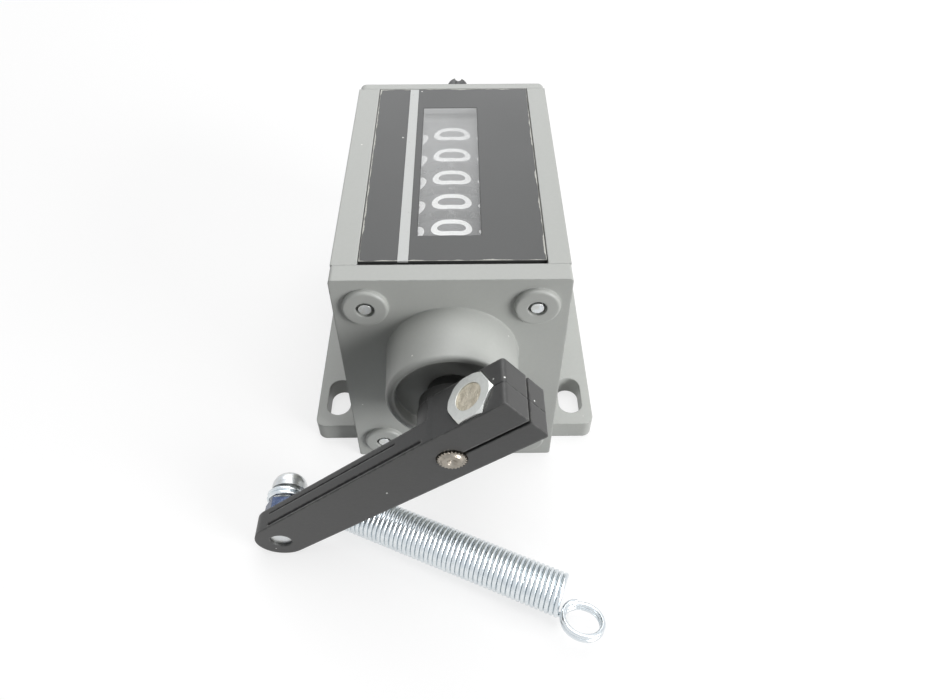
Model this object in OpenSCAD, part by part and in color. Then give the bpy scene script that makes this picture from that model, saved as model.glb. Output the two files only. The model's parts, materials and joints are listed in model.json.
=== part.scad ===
// Five-figure stroke counter with a swinging clamp lever and a pull spring.
// The counter axis runs along Y, the lever is at -Y, and the feet stand on Z = 0.

/* [Housing] */
// Width of the housing across the counter axis
body_w = 40; // [38:0.5:60]
// Height of the housing above its mounting plane
body_h = 50; // [47:0.5:66]
// Wall thickness of the moulded shell
wall = 1.8; // [1.2:0.1:2.4]
// Thickness of the shell floor
floor_t = 2.4; // [1.8:0.1:3]
// Thickness of the drive end cover
drive_cover_t = 3.8; // [3:0.1:5]
// Thickness of the reset end cover
reset_cover_t = 2; // [1.6:0.1:4]
// Corner radius of the reset end cover
corner_r = 1.4; // [0.6:0.1:3]
// Corner radius of the drive end cover
front_corner_r = 0.6; // [0.3:0.1:3]
// Depth of the counter axis below the top of the housing
axis_depth = 18; // [17.6:0.1:19]
// Length of the bay between the drive cover and the first figure wheel
front_bay = 10.45; // [10.2:0.05:14]
// Length of the bay between the last figure wheel and the reset cover
rear_bay = 7.85; // [7:0.05:14]

/* [Mounting feet] */
// How far each foot stands out from the side of the housing
foot_out = 9.4; // [8.6:0.1:14]
// Thickness of the feet
foot_t = 4.4; // [3:0.1:6]
// Length of the feet along the counter axis
foot_l = 54; // [50:0.5:56]
// Radius of the outer corners of the feet
foot_r = 2; // [1:0.1:4]
// Distance from the side of the housing to the centre line of the slots
slot_off = 5; // [4.6:0.1:8]
// Distance between the two slots of one foot
slot_spacing = 38.6; // [30:0.2:40]
// Width of a mounting slot
slot_w = 5; // [3.4:0.1:5.6]
// End-to-end length of a mounting slot
slot_l = 9.6; // [7:0.1:12]

/* [Tie screws] */
// Distance of the tie screws from the sides of the housing
tie_in_x = 5.6; // [5:0.1:6]
// Distance of the tie screws from the top and the bottom of the housing
tie_in_z = 5.8; // [5.2:0.1:6]
// Shank diameter of the tie screws
tie_d = 2.2; // [2:0.1:2.6]
// Outer diameter of the raised collars on the drive cover
collar_d = 7.8; // [6:0.1:8.6]
// Height of the raised collars
collar_t = 1; // [0.4:0.1:2]

/* [Face plate] */
// Width of the face plate
plate_w = 31.4; // [28:0.1:31.6]
// Sideways offset of the face plate from the counter axis
plate_x = 0.3; // [-0.4:0.1:0.4]
// Thickness of the face plate
plate_t = 1.2; // [0.8:0.1:1.4]
// Width of the reading window across the wheels
window_w = 11.1; // [9:0.1:13]
// Sideways offset of the window from the counter axis
window_x = -0.3; // [-1:0.1:1]
// Distance from the first figure wheel back to the near edge of the window
window_lead = 3; // [1:0.1:5]
// Width of the painted stripe
stripe_w = 1.8; // [1:0.1:3]
// Distance of the stripe from the counter axis
stripe_x = 8; // [7.5:0.1:12]

/* [Boss] */
// Diameter of the shaft boss where it meets the drive cover
boss_d = 23.6; // [22:0.1:26]
// How far the boss stands out from the drive cover
boss_l = 10.8; // [8:0.1:14]
// Depth of the recess in the front of the boss
boss_recess = 2.4; // [0.5:0.1:2.5]

/* [Figure wheels] */
// Outside diameter of a figure wheel
wheel_d = 28.4; // [27.6:0.1:28.8]
// Distance from one figure wheel to the next
wheel_pitch = 7.7; // [7.4:0.1:10]
// Diameter of the reset shaft that carries the figure wheels
axle_d = 4; // [3.6:0.1:4.8]
// Diameter of the shaft that carries the transfer pinions
pinion_axle_d = 2.5; // [2:0.1:3]

/* [Lever] */
// Diameter of the drive shaft
shaft_d = 5; // [4.6:0.1:6]
// Distance from the drive shaft to the stud at the lever tip
lever_l = 42.1; // [34:0.1:54]
// Thickness of the lever arm
arm_t = 4.2; // [3:0.1:5]
// Thickness of the clamp head
head_t = 8.8; // [8.6:0.1:11]
// Length of the clamp head beyond the drive shaft
head_l = 15.5; // [14.6:0.1:18]
// Radius of the rounded lever tip
tip_r = 4.8; // [4:0.05:5.5]
// Radius of the lever hub
hub_r = 6.2; // [5.6:0.1:7]
// Distance from the drive cover to the front face of the lever
lever_reach = 22.5; // [22.3:0.1:28]
// Width of the clamping slit
slit_w = 0.6; // [0.3:0.1:1.2]
// Height of the lever tip above the mounting plane
tip_lift = 0.3; // [0.3:0.1:4]
// Angle through which the lever swings
stroke = 50; // [40:1:54]

/* [Pull spring] */
// Outside diameter of the pull spring
coil_d = 8; // [7:0.1:9]
// Wire diameter of the pull spring
wire_d = 0.9; // [0.7:0.05:1.1]
// Number of close-wound turns
coil_turns = 56; // [30:1:70]
// Angle of the spring from the X axis, seen from above
coil_yaw = -24; // [-32:0.1:-16]
// Tilt of the free eye about the spring
eye_tilt = 18; // [0:1:40]

/* [Reset knob] */
// Radius over the wings of the reset knob
wing_r = 15.6; // [12:0.1:17]
// Width of a wing at its tip
wing_w = 4.6; // [3:0.1:8]
// Resting angle of the reset knob from upright
knob_turn = 5; // [-30:1:30]

/* [Hidden] */

// Clearances
run = 0.05;
gap = 0.15;
free_gap = 0.3;
eps = 0.01;

// Colours
grey_plastic = [0.52, 0.53, 0.51];
black_plastic = [0.10, 0.10, 0.10];
zinc = [0.80, 0.82, 0.84];
steel = [0.66, 0.66, 0.67];
brass = [0.76, 0.62, 0.32];
wheel_black = [0.16, 0.16, 0.17];

// Places along the counter axis
wheel_count = 5;
shell_l = front_bay + wheel_count * wheel_pitch + rear_bay;
total_l = drive_cover_t + shell_l + reset_cover_t;
y_face = -total_l / 2;
y_seam = y_face + drive_cover_t;
y_wheels = y_seam + front_bay;
y_wheels_end = y_wheels + wheel_count * wheel_pitch;
y_rear = y_seam + shell_l;
y_back = y_rear + reset_cover_t;

// Places across the housing
shaft_z = body_h - axis_depth;
half_w = body_w / 2;
cavity_x = half_w - wall;
recess_z = body_h - plate_t - 1.2;
cavity_top = recess_z - 1.6;
tie_x = half_w - tie_in_x;
tie_zs = [tie_in_z, body_h - tie_in_z];
tie_hole_d = tie_d + 0.7;
post_r = tie_hole_d / 2 + 1.05;

// Boss and its spring chamber
boss_r = boss_d / 2;
boss_rim_r = boss_r - 0.4;
chamber_r = boss_r - 2.8;
web_t = 2.4;
bush_r = shaft_d / 2 + 1.5;

// Figure wheels and the transfer gears between them
wheel_r = wheel_d / 2;
gear_w = 1.2;
carry_w = 1.1;
wheel_side_gap = 0.1;
rim_w = wheel_pitch - 2 * wheel_side_gap - gear_w - carry_w;
wheel_teeth = 20;
pinion_teeth = 8;
gear_pitch_r = wheel_r - 1;
pinion_pitch_r = gear_pitch_r * pinion_teeth / wheel_teeth;
pinion_tip_r = pinion_pitch_r + 1.05;
pinion_root_r = pinion_pitch_r - 1.3;
gear_centres = gear_pitch_r + pinion_pitch_r;
gear_root_r = gear_centres - pinion_tip_r - 0.25;
carry_r = gear_root_r - 0.15;
pinion_z = shaft_z - gear_centres;
pinion_w = gear_w + carry_w;
spacer_r = pinion_axle_d / 2 + 0.9;

// Drive parts in the front bay
carrier_t = 1.2;
carrier_y = y_seam + 0.5;
ratchet_t = 2;
ratchet_y = carrier_y + carrier_t + 0.7;
ratchet_r = 7.6;
ratchet_root_r = 6.1;
ratchet_teeth = 10;
pawl_t = 1.6;
pawl_y = ratchet_y + (ratchet_t - pawl_t) / 2;
pawl_pivot_r = 10.8;
pawl_pin_r = 0.9;
pawl_boss_r = 1.9;
carrier_r = 13.3;
drive_pawl_a = 130;
detent_pawl_a = 255;
pawl_lead = 35;
frame_t = 1.2;
front_frame_y = ratchet_y + ratchet_t + 1.4;
rear_frame_y = y_wheels_end + 3.4;
ratchet_hub_r = 4.8;
stop_pin_r = 1.1;
stop_orbit = 10.8;
stop_a = 300;

// Lever
lever_z_drop = shaft_z - tip_r - tip_lift;
arm_a = asin(lever_z_drop / lever_l);
lever_y = y_face - lever_reach;
head_back_y = lever_y + head_t;
arm_back_y = lever_y + arm_t;
screw_d = 5;
nut_flats = 8;
nut_t = 4;
nut_u = 8.8;
nut_proud = 0.45;
head_upper = 6.1;
head_lower = 4.95;
seat_v = -head_lower + 2.4;
screw_head_d = 7.2;
screw_head_t = 2.2;
hub_back = 2.3;
hub_collar_r = 5.9;
hub_neck_r = bush_r + 0.3;
groove_depth = 0.35;
tip_x = -lever_l * cos(arm_a);
tip_z = shaft_z - lever_z_drop;

// Anchor screw and pull spring
anchor_d = 4;
anchor_nut_t = 3.2;
anchor_nut_flats = 7;
anchor_head_r = 3.4;
anchor_head_t = 3.6;
end_recess = 0.5;
coil_r = coil_d / 2;
bore_r = coil_r - wire_d;
eye_turns = 3;
eye_l = eye_turns * wire_d;
eye_y = arm_back_y + anchor_nut_t + 0.15 + eye_l / 2;
anchor_head_y = eye_y + eye_l / 2 + gap;
coil_l = coil_turns * wire_d;
coil_start = 5.2;
coil_side = -3.25;
eye_ahead = 4.2;
eye_side = 3.5;

// Reset end
collar_y = y_wheels_end + 0.6;
knob_y = y_back + 1;
knob_t = 6.4;
knob_hub_r = 5.4;

function polar(r, a) = [r * cos(a), r * sin(a)];
function arc(r, a0, a1, n) = [for (i = [0:n]) polar(r, a0 + (a1 - a0) * i / n)];
function shift(points, by) = [for (p = points) p + by];
function wheel_y(i) = y_wheels + (i - 1) * wheel_pitch + wheel_side_gap;

// Extrude an outline drawn in X and Z from y to y + t
module slab(y, t) {
    translate([0, y + t, 0]) rotate([90, 0, 0]) linear_extrude(t) children();
}

// A round bar along Y on an axis at x, z
module rod(x, z, y, l, r, n = 48) {
    translate([x, y, z]) rotate([-90, 0, 0]) cylinder(h = l, r = r, $fn = n);
}

// Turn a profile of radius and distance about the counter axis, from y towards -Y
module turned(y, n = 96) {
    translate([0, y, shaft_z]) rotate([90, 0, 0]) rotate_extrude($fn = n) children();
}

module round_rect(x0, z0, x1, z1, r) {
    translate([x0 + r, z0]) square([x1 - x0 - 2 * r, z1 - z0]);
    translate([x0, z0 + r]) square([x1 - x0, z1 - z0 - 2 * r]);
    for (x = [x0 + r, x1 - r]) {
        for (z = [z0 + r, z1 - r]) {
            translate([x, z]) circle(r, $fn = 32);
        }
    }
}

module at_ties() {
    for (x = [-tie_x, tie_x]) {
        for (z = tie_zs) {
            translate([x, 0, z]) children();
        }
    }
}

// ---- Housing ----

module shell_outline() {
    difference() {
        union() {
            difference() {
                translate([-half_w, 0]) square([body_w, body_h]);
                translate([-cavity_x, floor_t]) square([2 * cavity_x, cavity_top - floor_t]);
            }
            for (s = [-1, 1]) {
                translate([s * tie_x, tie_zs[1]]) circle(post_r, $fn = 48);
                translate([s * tie_x, tie_zs[0]]) circle(post_r, $fn = 48);
                mirror([s < 0 ? 1 : 0, 0]) {
                    translate([tie_x - post_r, 0.5])
                        square([cavity_x - tie_x + post_r + 0.5, tie_in_z - 0.5]);
                    translate([tie_x, 0.5]) square([cavity_x - tie_x + 0.5, tie_in_z + post_r - 0.5]);
                    translate([tie_x, tie_zs[1] - post_r]) square([cavity_x - tie_x + 0.5, post_r + 1]);
                }
            }
        }
        translate([plate_x - plate_w / 2 - gap, recess_z]) square([plate_w + 2 * gap, 5]);
        for (x = [-tie_x, tie_x]) {
            for (z = tie_zs) {
                translate([x, z]) circle(tie_hole_d / 2, $fn = 32);
            }
        }
    }
}

module foot_outline() {
    round_rect(half_w - foot_out, -foot_l / 2, half_w + foot_out, foot_l / 2, foot_r);
}

module slot_cut() {
    straight = slot_l - slot_w;
    translate([0, -straight / 2, -1]) cylinder(h = foot_t + 2, d = slot_w, $fn = 48);
    translate([0, straight / 2, -1]) cylinder(h = foot_t + 2, d = slot_w, $fn = 48);
    translate([-slot_w / 2, -straight / 2, -1]) cube([slot_w, straight, foot_t + 2]);
}

module feet() {
    for (s = [0, 1]) {
        mirror([s, 0, 0]) difference() {
            linear_extrude(foot_t) foot_outline();
            translate([0, -foot_l, -1]) cube([half_w - wall / 2, 2 * foot_l, foot_t + 2]);
            for (y = [-slot_spacing / 2, slot_spacing / 2]) {
                translate([half_w + slot_off, y, 0]) slot_cut();
            }
        }
    }
}

module housing_shell() {
    open_w = window_w + 7;
    color(grey_plastic) union() {
        difference() {
            slab(y_seam, shell_l) shell_outline();
            translate([-open_w / 2, y_wheels - 1, cavity_top - 1])
                cube([open_w, y_wheels_end - y_wheels + 2, 4]);
        }
        feet();
    }
}

module collar_profile() {
    r = collar_d / 2;
    n = 0.5;
    polygon(concat([[0, -1], [r, -1]], shift(arc(n, 0, 90, 5), [r - n, collar_t - n]), [[0, collar_t]]));
}

module boss_profile() {
    n = 0.7;
    lip = 1.5;
    inner = boss_rim_r - lip;
    polygon(concat(
        [[0, -1], [boss_r, -1], [boss_r, 0]],
        shift(arc(n, 0, 90, 6), [boss_rim_r - n, boss_l - n]),
        [[inner + 0.3, boss_l], [inner, boss_l - 0.3], [inner, boss_l - boss_recess], [0, boss_l - boss_recess]]
    ));
}

module drive_cover() {
    chamber_l = boss_l - boss_recess - web_t;
    color(grey_plastic) difference() {
        union() {
            slab(y_face, drive_cover_t) round_rect(-half_w, 0, half_w, body_h, front_corner_r);
            turned(y_face) boss_profile();
            at_ties() translate([0, y_face, 0]) rotate([90, 0, 0]) rotate_extrude($fn = 64) collar_profile();
        }
        rod(0, shaft_z, y_face - boss_l - 1, boss_l + 2, bush_r + run, 64);
        rod(0, shaft_z, y_face - chamber_l, chamber_l + drive_cover_t + 1, chamber_r, 96);
        at_ties() rod(0, 0, y_face - collar_t - 1, collar_t + drive_cover_t + 2, tie_d / 2 + run, 32);
        at_ties() rod(0, 0, y_face - collar_t - 1, 2.4, tie_d / 2 + 0.5, 32);
        translate([0, 0, shaft_z]) rotate([0, -stop_a, 0])
            rod(stop_orbit, 0, y_seam - 2.4, 3, stop_pin_r + 0.02, 32);
        translate([0, 0, shaft_z]) rotate([0, -return_leg_a, 0])
            rod(chamber_r - 1.3, 0, y_face - chamber_l - 1.1, 3, 0.55, 24);
    }
}

module reset_cover() {
    color(grey_plastic) difference() {
        slab(y_rear, reset_cover_t) round_rect(-half_w, 0, half_w, body_h, corner_r);
        rod(0, shaft_z, y_rear - 1, reset_cover_t + 2, axle_d / 2 + 1.5 + run, 48);
        at_ties() rod(0, 0, y_rear - 1, reset_cover_t + 2, tie_hole_d / 2, 32);
    }
}

module tie_screws() {
    head_t0 = 1.9;
    shank = total_l + collar_t - 0.1;
    color(zinc) at_ties() difference() {
        union() {
            rod(0, 0, y_back - shank, shank, tie_d / 2, 32);
            rod(0, 0, y_back + run, head_t0, tie_d * 0.98, 40);
            rod(0, 0, y_back - eps, run + 2 * eps, tie_d / 2, 32);
        }
        translate([-tie_d, y_back + head_t0 - 0.7, -0.3]) cube([2 * tie_d, 2, 0.6]);
    }
}

// ---- Face plate, stripe and window ----

plate_top = body_h - 0.05;
plate_y = y_seam + 0.95;
plate_l = shell_l - 1.05;
window_y = y_wheels - window_lead;
window_l = y_wheels_end - window_y + 0.1;

module face_plate() {
    color(black_plastic) difference() {
        translate([plate_x - plate_w / 2, plate_y, plate_top - plate_t]) cube([plate_w, plate_l, plate_t]);
        translate([window_x - window_w / 2, window_y, plate_top - 3]) cube([window_w, window_l, 6]);
        translate([-stripe_x - stripe_w / 2 - eps, plate_y - 1, plate_top - 0.3])
            cube([stripe_w + 2 * eps, plate_l + 2, 1]);
    }
}

module face_stripe() {
    color([0.83, 0.83, 0.82]) translate([-stripe_x - stripe_w / 2, plate_y + eps, plate_top - 0.3 + eps])
        cube([stripe_w, plate_l - 2 * eps, 0.3 - eps]);
}

module window_lens() {
    base_top = plate_top - plate_t - run;
    color([0.85, 0.9, 0.92, 0.4]) union() {
        translate([window_x - window_w / 2 + run, window_y + run, base_top - 0.5])
            cube([window_w - 2 * run, window_l - 2 * run, plate_t + 0.5]);
        translate([plate_x - plate_w / 2 + 0.6, plate_y + 0.6, recess_z + run])
            cube([plate_w - 1.2, plate_l - 1.2, base_top - recess_z - run]);
    }
}

// ---- Inner frame ----

pillar_x = 14;
pillar_z = tie_in_z + post_r + 3.6;
pillar_end_r = 1.25;

module frame_outline(hub_hole_r) {
    w = cavity_x - gap;
    step = tie_in_x + post_r + 0.4;
    low = tie_zs[0] + post_r + 0.5;
    high = tie_zs[1] - post_r - 0.5;
    difference() {
        union() {
            translate([-w, low]) square([2 * w, high - low]);
            translate([-half_w + step, floor_t + run])
                square([2 * (half_w - step), cavity_top - floor_t - 2 * run]);
        }
        translate([0, shaft_z]) circle(hub_hole_r, $fn = 64);
        translate([0, pinion_z]) circle(pinion_axle_d / 2 + run, $fn = 32);
        for (s = [-1, 1]) {
            translate([s * pillar_x, pillar_z]) circle(pillar_end_r + run, $fn = 32);
        }
    }
}

module front_frame_plate() {
    color(steel) difference() {
        slab(front_frame_y, frame_t) frame_outline(ratchet_hub_r + 0.4);
        translate([0, 0, shaft_z]) rotate([0, -detent_pawl_a, 0])
            rod(pawl_pivot_r, 0, front_frame_y - 1, frame_t + 2, pawl_pin_r + 0.02, 32);
    }
}

module rear_frame_plate() {
    color(steel) slab(rear_frame_y, frame_t) frame_outline(axle_d / 2 + run);
}

module frame_pillars() {
    l = rear_frame_y - front_frame_y - frame_t;
    color(steel) for (s = [-1, 1]) {
        rod(s * pillar_x, pillar_z, front_frame_y + frame_t + run, l - 2 * run, 1.9, 32);
        rod(s * pillar_x, pillar_z, front_frame_y - 0.5, l + 2 * frame_t + 1, pillar_end_r, 32);
    }
}

module pinion_axle() {
    l = rear_frame_y + frame_t - front_frame_y + 2.6;
    color(steel) rod(0, pinion_z, front_frame_y - 1.3, l, pinion_axle_d / 2, 32);
}

module pinion_clips() {
    color(steel) for (y = [front_frame_y - 0.8, rear_frame_y + frame_t + 0.2]) {
        difference() {
            rod(0, pinion_z, y, 0.6, pinion_axle_d / 2 + 1.3, 40);
            rod(0, pinion_z, y - 1, 3, pinion_axle_d / 2 + 0.02, 32);
            translate([-0.8, y - 1, pinion_z - 5]) cube([1.6, 3, 5]);
        }
    }
}

function pinion_y(i) = wheel_y(i) + gear_w + rim_w + wheel_side_gap;

module pinion_spacers() {
    side = wheel_side_gap;
    ends = concat([front_frame_y + frame_t + side], [for (i = [1:4]) pinion_y(i) + pinion_w + side]);
    stops = concat([for (i = [1:4]) pinion_y(i) - side], [rear_frame_y - side]);
    color(brass) for (i = [0:4]) {
        difference() {
            rod(0, pinion_z, ends[i], stops[i] - ends[i], spacer_r, 32);
            rod(0, pinion_z, ends[i] - 1, stops[i] - ends[i] + 2, pinion_axle_d / 2 + run, 32);
        }
    }
}

module shaft_bush() {
    y0 = y_face - boss_l + boss_recess;
    color(brass) difference() {
        union() {
            rod(0, shaft_z, y0, web_t, bush_r, 64);
            rod(0, shaft_z, y0 + web_t + run, 0.8, bush_r + 1.2, 64);
            rod(0, shaft_z, y0 + web_t - eps, run + 2 * eps, bush_r, 64);
        }
        rod(0, shaft_z, y0 - 3, web_t + 12, shaft_d / 2 + run, 64);
    }
}

module reset_bush() {
    color(brass) difference() {
        union() {
            rod(0, shaft_z, y_rear - 0.2, reset_cover_t + 0.9, axle_d / 2 + 1.5, 48);
            rod(0, shaft_z, y_rear - 1.1, 1.1 - run, axle_d / 2 + 2.7, 48);
        }
        rod(0, shaft_z, y_rear - 3, reset_cover_t + 8, axle_d / 2 + run, 48);
    }
}

return_leg_a = 90;

module return_spring() {
    y0 = y_face - boss_l + boss_recess + web_t + 2.4;
    l = y_seam - y0 - 0.6;
    r = chamber_r - 0.8;
    color(zinc) union() {
        difference() {
            rod(0, shaft_z, y0, l, r, 64);
            rod(0, shaft_z, y0 - 1, l + 2, r - 1, 64);
        }
        translate([0, 0, shaft_z]) rotate([0, -return_leg_a, 0]) rod(r - 0.5, 0, y0 - 3.2, 3.4, 0.42, 24);
    }
}

module stop_pin() {
    color(steel) translate([0, 0, shaft_z]) rotate([0, -stop_a, 0])
        rod(stop_orbit, 0, y_seam - 2.3, carrier_y + carrier_t - y_seam + 2.7, stop_pin_r, 32);
}

// ---- Ratchet drive ----

module pawl_outline(pivot_a) {
    tip = polar(ratchet_r + free_gap, pivot_a - pawl_lead);
    back = polar(ratchet_r + free_gap + 1.5, pivot_a - pawl_lead + 2);
    low = polar(pawl_pivot_r - pawl_boss_r + 0.1, pivot_a);
    high = polar(pawl_pivot_r + 0.4, pivot_a - 8);
    difference() {
        union() {
            translate(polar(pawl_pivot_r, pivot_a)) circle(pawl_boss_r, $fn = 48);
            polygon([tip, back, high, low]);
        }
        translate(polar(pawl_pivot_r, pivot_a)) circle(pawl_pin_r + run, $fn = 32);
    }
}

// Flat view of a small torsion spring wound round a pawl pin
module pawl_spring_outline(pivot_a) {
    wire_w = 0.45;
    outer = pawl_boss_r - 0.1;
    translate(polar(pawl_pivot_r, pivot_a)) rotate(pivot_a - 90) difference() {
        union() {
            circle(outer, $fn = 48);
            translate([0, outer - wire_w]) square([4.6, wire_w]);
            translate([-4.6, -outer]) square([4.6, wire_w]);
        }
        circle(pawl_pin_r + 0.2, $fn = 32);
    }
}

module drive_pawl() {
    color(steel) translate([0, 0, shaft_z]) slab(pawl_y, pawl_t) pawl_outline(drive_pawl_a);
}

module detent_pawl() {
    color(steel) translate([0, 0, shaft_z]) slab(pawl_y, pawl_t) pawl_outline(detent_pawl_a);
}

module drive_pawl_spring() {
    color(zinc) translate([0, 0, shaft_z]) slab(carrier_y + carrier_t + run, 0.75)
        pawl_spring_outline(drive_pawl_a);
}

module detent_spring() {
    color(zinc) translate([0, 0, shaft_z]) slab(front_frame_y - 1.4, 1.4 - run)
        pawl_spring_outline(detent_pawl_a);
}

module pawl_pin() {
    color(steel) translate([0, 0, shaft_z]) rotate([0, -drive_pawl_a, 0])
        rod(pawl_pivot_r, 0, carrier_y, pawl_y + pawl_t - carrier_y + 0.4, pawl_pin_r, 32);
}

module detent_pin() {
    color(steel) translate([0, 0, shaft_z]) rotate([0, -detent_pawl_a, 0])
        rod(pawl_pivot_r, 0, pawl_y - 0.4, front_frame_y + frame_t - pawl_y + 0.4, pawl_pin_r, 32);
}

module drive_carrier() {
    slot_half = stop_pin_r + gap;
    swing = slot_half / stop_orbit * 180 / PI;
    color(steel) translate([0, 0, shaft_z]) slab(carrier_y, carrier_t) difference() {
        union() {
            circle(ratchet_hub_r + 1.2, $fn = 64);
            polygon(concat([[0, 0]], arc(carrier_r, drive_pawl_a - 16, drive_pawl_a + 26, 10)));
            polygon(concat([[0, 0]], arc(carrier_r, stop_a - 16, stop_a + stroke + 16, 14)));
        }
        circle(shaft_d / 2 + 0.02, $fn = 64);
        translate(polar(pawl_pivot_r, drive_pawl_a)) circle(pawl_pin_r + 0.02, $fn = 32);
        polygon(concat(
            arc(stop_orbit + slot_half, stop_a - swing, stop_a + stroke + swing, 16),
            arc(stop_orbit - slot_half, stop_a + stroke + swing, stop_a - swing, 16)
        ));
    }
}

// Star outline whose points make the serrations of the shaft end
module serration(n) {
    polygon([for (i = [0:2 * n - 1]) polar(i % 2 == 0 ? shaft_d / 2 - 0.03 : shaft_d / 2 - 0.42, 180 * i / n)]);
}

module drive_shaft() {
    y_tip = lever_y - 0.7;
    y_plain = head_back_y + 2.5;
    y_end = ratchet_y - 0.3;
    bore_l = 5;
    color([0.72, 0.68, 0.62]) difference() {
        union() {
            translate([0, 0, shaft_z]) slab(y_tip + 0.4, y_plain - y_tip - 0.4) serration(24);
            translate([0, y_tip, shaft_z]) rotate([-90, 0, 0])
                cylinder(h = 0.45, r1 = shaft_d / 2 - 0.9, r2 = shaft_d / 2 - 0.5, $fn = 48);
            rod(0, shaft_z, y_plain - 0.2, y_end - y_plain + 0.2, shaft_d / 2, 64);
        }
        translate([0, y_tip - eps, shaft_z]) rotate([-90, 0, 0])
            cylinder(h = 0.6, r1 = 0.9, r2 = 0.2, $fn = 32);
        rod(0, shaft_z, y_end - bore_l, bore_l + 1, pilot_r + run, 48);
        difference() {
            rod(0, shaft_z, clip_groove_y - run, 0.7 + 2 * run, shaft_d, 64);
            rod(0, shaft_z, clip_groove_y - 1, 3, groove_r, 64);
        }
    }
}

pilot_r = 1.5;
clip_groove_y = y_face - boss_l + boss_recess + web_t + 1.1;
groove_r = shaft_d / 2 - 0.4;

module shaft_clip() {
    color(steel) difference() {
        rod(0, shaft_z, clip_groove_y, 0.7, shaft_d / 2 + 1.8, 48);
        rod(0, shaft_z, clip_groove_y - 1, 3, groove_r + 0.02, 64);
        translate([-1.6, clip_groove_y - 1, shaft_z - 6]) cube([3.2, 3, 6]);
    }
}

// ---- Lever ----

// Outline in lever coordinates: +X towards the clamp head, the shaft at the origin
upper_slope = asin((hub_r - tip_r) / lever_l);
lower_slope = asin((head_lower - tip_r) / (lever_l + head_l));

module lever_outline() {
    high_a = asin(head_upper / hub_r);
    n = 0.6;
    polygon(concat(
        shift(arc(tip_r, 90 + upper_slope, 270 - lower_slope, 24), [-lever_l, 0]),
        shift(arc(n, -90, 0, 4), [head_l - n, -head_lower + n]),
        shift(arc(n, 0, 90, 4), [head_l - n, head_upper - n]),
        arc(hub_r, high_a, 90 + upper_slope, 3)
    ));
}

module in_lever() {
    translate([0, 0, shaft_z]) rotate([0, -arm_a, 0]) children();
}

// Axis of the clamp screw, across the slit
module clamp_axis() {
    in_lever() translate([nut_u, (lever_y + head_back_y) / 2, 0]) children();
}

// Grooves of width w and length l along the two edges of the arm
module edge_grooves(y, w, l) {
    in_lever() translate([-lever_l + 2, y, 0]) rotate([0, -upper_slope, 0])
        translate([0, 0, tip_r - groove_depth + 0.05]) cube([l, w, 2]);
    in_lever() translate([-lever_l + 2, y, 0]) rotate([0, lower_slope, 0])
        translate([0, 0, -tip_r - 2 + groove_depth]) cube([l, w, 2]);
}

module lever() {
    line = 0.14;
    neck_l = y_face - boss_l + boss_recess - gap - head_back_y;
    color(black_plastic) difference() {
        union() {
            in_lever() slab(lever_y, arm_t) lever_outline();
            in_lever() slab(lever_y, head_t) intersection() {
                lever_outline();
                union() {
                    translate([0, -20]) square([40, 40]);
                    circle(hub_collar_r, $fn = 64);
                }
            }
            rod(0, shaft_z, head_back_y - eps, hub_back, hub_collar_r - 0.2, 64);
            rod(0, shaft_z, head_back_y - eps, neck_l, hub_neck_r, 64);
        }
        rod(0, shaft_z, lever_y - 1, head_t + 8, shaft_d / 2 + run, 64);
        in_lever() translate([0, lever_y - 1, -slit_w / 2]) cube([head_l + 5, head_t + 8, slit_w]);
        clamp_axis() translate([0, 0, -20]) cylinder(h = 40, d = screw_d + 0.3, $fn = 48);
        clamp_axis() translate([0, 0, seat_v - 10]) cylinder(h = 10, d = screw_head_d + 0.4, $fn = 48);
        clamp_axis() translate([0, 0, head_upper + nut_proud - nut_t])
            cylinder(h = 10, d = (nut_flats + 0.16) / cos(30), $fn = 6);
        in_lever() rod(-lever_l, 0, lever_y - 1, arm_t + 2, anchor_d / 2 + run, 48);
        edge_grooves(arm_back_y - 1.35, 0.25, lever_l - 9);
        edge_grooves(lever_y + 0.4, 0.5, lever_l - 3);
        in_lever() translate([head_l - line, arm_back_y - line / 2, -20]) cube([2, line, 40]);
        in_lever() translate([hub_collar_r + 1, arm_back_y - line / 2, head_upper - line]) cube([head_l, line, 2]);
    }
}

module clamp_screw() {
    head_v = seat_v - run - screw_head_t;
    color(zinc) clamp_axis() difference() {
        union() {
            translate([0, 0, seat_v - run - eps])
                cylinder(h = head_upper + nut_proud - 0.2 - seat_v + run, d = screw_d - 0.04, $fn = 48);
            translate([0, 0, head_v]) cylinder(h = screw_head_t, d = screw_head_d, $fn = 48);
        }
        translate([-0.6, -5, head_v - 1]) cube([1.2, 10, 1.9]);
    }
}

module clamp_nut() {
    top = head_upper + nut_proud;
    color(zinc) clamp_axis() difference() {
        intersection() {
            translate([0, 0, top - nut_t + run]) cylinder(h = nut_t - run, d = nut_flats / cos(30), $fn = 6);
            translate([0, 0, top - nut_t - 1])
                cylinder(h = nut_t + 1, r1 = nut_flats / 2 + 5, r2 = nut_flats / 2 + 0.12, $fn = 64);
        }
        translate([0, 0, top - nut_t - 1]) cylinder(h = nut_t + 2, d = screw_d, $fn = 48);
    }
}

module anchor_screw() {
    y0 = lever_y + end_recess;
    round_t = 2.6;
    color(zinc) translate([tip_x, 0, tip_z]) difference() {
        union() {
            rod(0, 0, y0, anchor_head_y - y0 + eps, anchor_d / 2, 48);
            rod(0, 0, anchor_head_y, anchor_head_t - round_t, anchor_head_r, 48);
            translate([0, anchor_head_y + anchor_head_t - round_t, 0]) rotate([-90, 0, 0]) rotate_extrude($fn = 48)
                polygon(concat(
                    [[0, -eps], [anchor_head_r, -eps]],
                    shift(arc(round_t, 0, 90, 6), [anchor_head_r - round_t, 0]),
                    [[0, round_t]]
                ));
        }
        translate([-5, anchor_head_y + anchor_head_t - 1, -0.5]) cube([10, 3, 1]);
    }
}

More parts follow.
